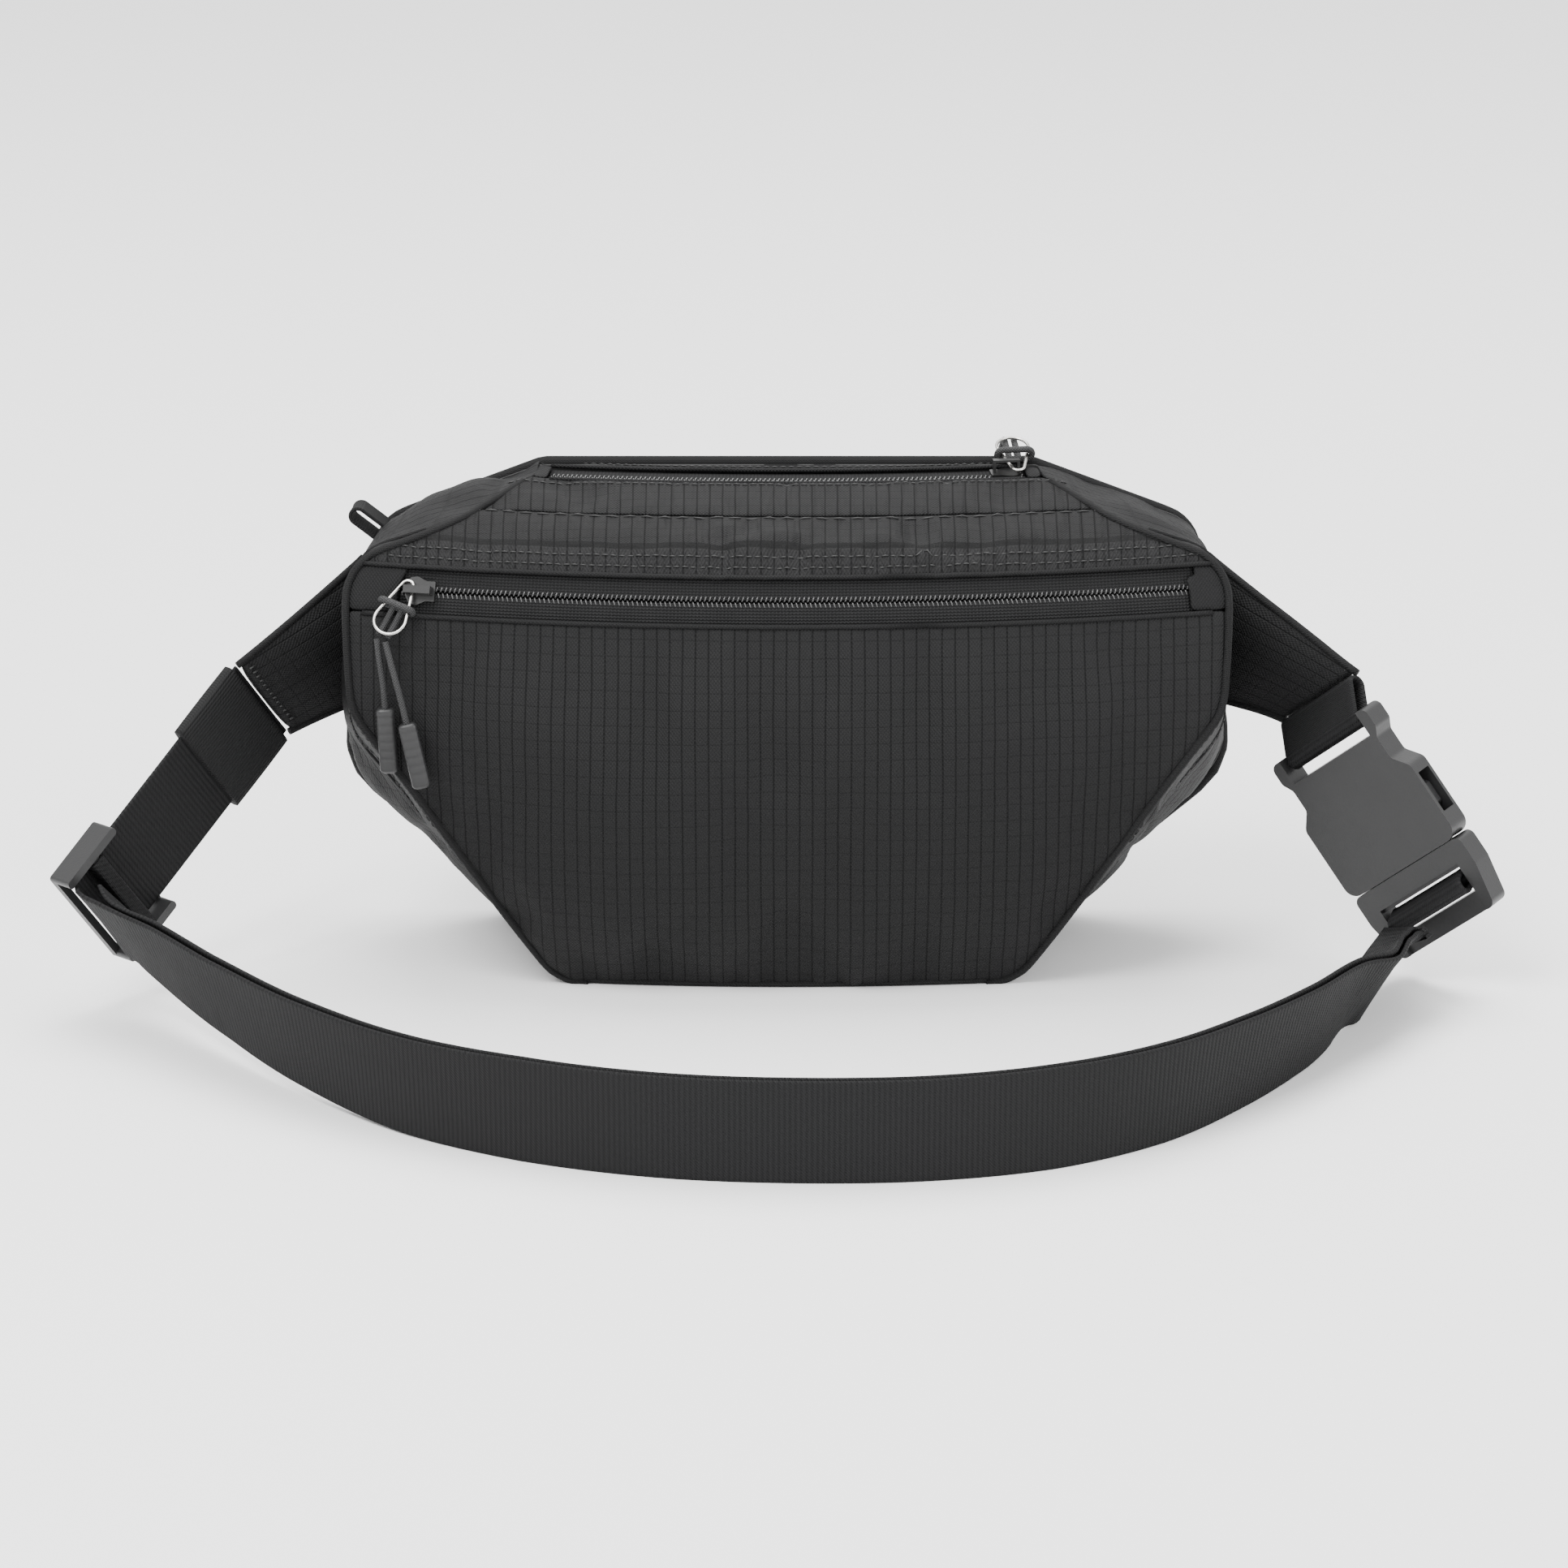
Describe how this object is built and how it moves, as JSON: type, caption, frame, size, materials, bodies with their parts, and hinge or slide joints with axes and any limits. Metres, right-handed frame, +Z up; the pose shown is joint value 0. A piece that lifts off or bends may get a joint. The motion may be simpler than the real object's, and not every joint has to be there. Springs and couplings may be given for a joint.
{
  "type": "waist pack",
  "caption": "Padded fabric waist pack with zipped main compartment and curved zipped front pocket, hip wings, webbing belt with tri-glide, keeper and side release buckle.",
  "frame": {"origin": "middle of the base of the bag, on the ground it stands on", "axes": "+Z up, the front with its pocket faces -Y, +X to the viewer's right when facing the front"},
  "size_m": [0.533, 0.2727, 0.1893],
  "materials": {
    "bag_fabric": "matt coated ripstop weave",
    "lining": "matt",
    "foam": "matt",
    "webbing": "woven",
    "zip_tape": "knitted",
    "zip_coil": "satin",
    "slider_metal": "satin",
    "ring_metal": "brushed",
    "cord": "braided",
    "cord_end": "matt",
    "buckle_plastic": "fine grained"
  },
  "bodies": {
    "bag": {"back_binding": "webbing", "back_foam": "foam", "back_lining": "lining", "back_panel": "bag_fabric", "base_panel": "bag_fabric", "belt_return": "webbing", "belt_webbing": "webbing", "buckle_female": "buckle_plastic", "divider_panel": "lining", "front_lower_panel": "bag_fabric", "front_upper_panel": "bag_fabric", "front_zip_coil_lower": "zip_coil", "front_zip_coil_upper": "zip_coil", "front_zip_tape_lower": "zip_tape", "front_zip_tape_upper": "zip_tape", "hang_loop": "bag_fabric", "inner_pocket": "lining", "left_wing": "bag_fabric", "main_zip_coil_front": "zip_coil", "main_zip_coil_rear": "zip_coil", "main_zip_end_left": "bag_fabric", "main_zip_end_right": "bag_fabric", "main_zip_tape_front": "zip_tape", "main_zip_tape_rear": "zip_tape", "pocket_gusset_left": "bag_fabric", "pocket_gusset_right": "bag_fabric", "right_webbing_loop": "webbing", "right_wing": "bag_fabric", "side_gusset_left": "bag_fabric", "side_gusset_right": "bag_fabric", "top_gusset_front": "bag_fabric", "top_gusset_rear": "bag_fabric", "zip_end_tab": "bag_fabric", "zip_start_patch": "bag_fabric"},
    "front_slider": {"front_slider": "slider_metal"},
    "front_ring": {"front_ring": "ring_metal", "front_cord_hitch": "cord"},
    "front_pull": {"front_cord_left": "cord", "front_cord_right": "cord", "front_cord_end_left": "cord_end", "front_cord_end_right": "cord_end"},
    "main_slider": {"main_slider": "slider_metal"},
    "main_ring": {"main_ring": "ring_metal", "main_cord_hitch": "cord"},
    "main_pull": {"main_cord_left": "cord", "main_cord_right": "cord", "main_cord_end_left": "cord_end", "main_cord_end_right": "cord_end"},
    "buckle_male": {"buckle_male": "buckle_plastic", "belt_fold": "webbing"},
    "prong_left": {"prong_left": "buckle_plastic"},
    "prong_right": {"prong_right": "buckle_plastic"},
    "tri_glide": {"tri_glide": "buckle_plastic", "belt_return_end": "webbing"},
    "keeper": {"keeper": "webbing"}
  },
  "joints": [
    {"name": "front_slider_travel", "type": "hinge", "parent": "bag", "child": "front_slider", "pos_m": [0, 0.673, 0.154], "axis": [0, 0, 1], "range_deg": [0, 21.9]},
    {"name": "front_ring_swing", "type": "hinge", "parent": "front_slider", "child": "front_ring", "pos_m": [-0.13621, -0.03363, 0.15466], "axis": [0.1924, 0.6405, 0.7434], "range_deg": [0, 130]},
    {"name": "front_pull_swing", "type": "hinge", "parent": "front_ring", "child": "front_pull", "pos_m": [-0.1476, -0.04329, 0.13855], "axis": [-0.8893, 0.3884, 0.2414], "range_deg": [0, 60]},
    {"name": "main_slider_travel", "type": "hinge", "parent": "bag", "child": "main_slider", "pos_m": [0, 0.673, 0.182], "axis": [0, 0, 1], "range_deg": [-14.2, 0]},
    {"name": "main_ring_swing", "type": "hinge", "parent": "main_slider", "child": "main_ring", "pos_m": [0.08318, 0.02632, 0.1831], "axis": [0.3705, -0.8898, -0.2664], "range_deg": [0, 130]},
    {"name": "main_pull_swing", "type": "hinge", "parent": "main_ring", "child": "main_pull", "pos_m": [0.08297, 0.04793, 0.18707], "axis": [0.9923, 0.1242, 0], "range_deg": [0, 110]},
    {"name": "buckle_release", "type": "slide", "parent": "bag", "child": "buckle_male", "axis": [0.5555, -0.3049, -0.7736], "range_m": [0, 0.03]},
    {"name": "prong_left_flex", "type": "hinge", "parent": "buckle_male", "child": "prong_left", "pos_m": [0.22118, -0.02308, 0.038], "axis": [-0.5401, -0.8397, -0.0569], "range_deg": [-8, 0], "stiffness_Nm_per_rad": 0.5},
    {"name": "prong_right_flex", "type": "hinge", "parent": "buckle_male", "child": "prong_right", "pos_m": [0.24015, -0.03656, 0.05693], "axis": [-0.5401, -0.8397, -0.0569], "range_deg": [0, 8], "stiffness_Nm_per_rad": 0.5},
    {"name": "tri_glide_slide", "type": "slide", "parent": "bag", "child": "tri_glide", "axis": [-0.551, -0.5885, -0.5917], "range_m": [-0.025, 0]},
    {"name": "keeper_slide", "type": "slide", "parent": "bag", "child": "keeper", "axis": [-0.551, -0.5885, -0.5917], "range_m": [0, 0.017]}
  ],
  "couplings": [
    {"joint": "prong_left_flex", "follows": "prong_right_flex", "ratio": -1}
  ]
}
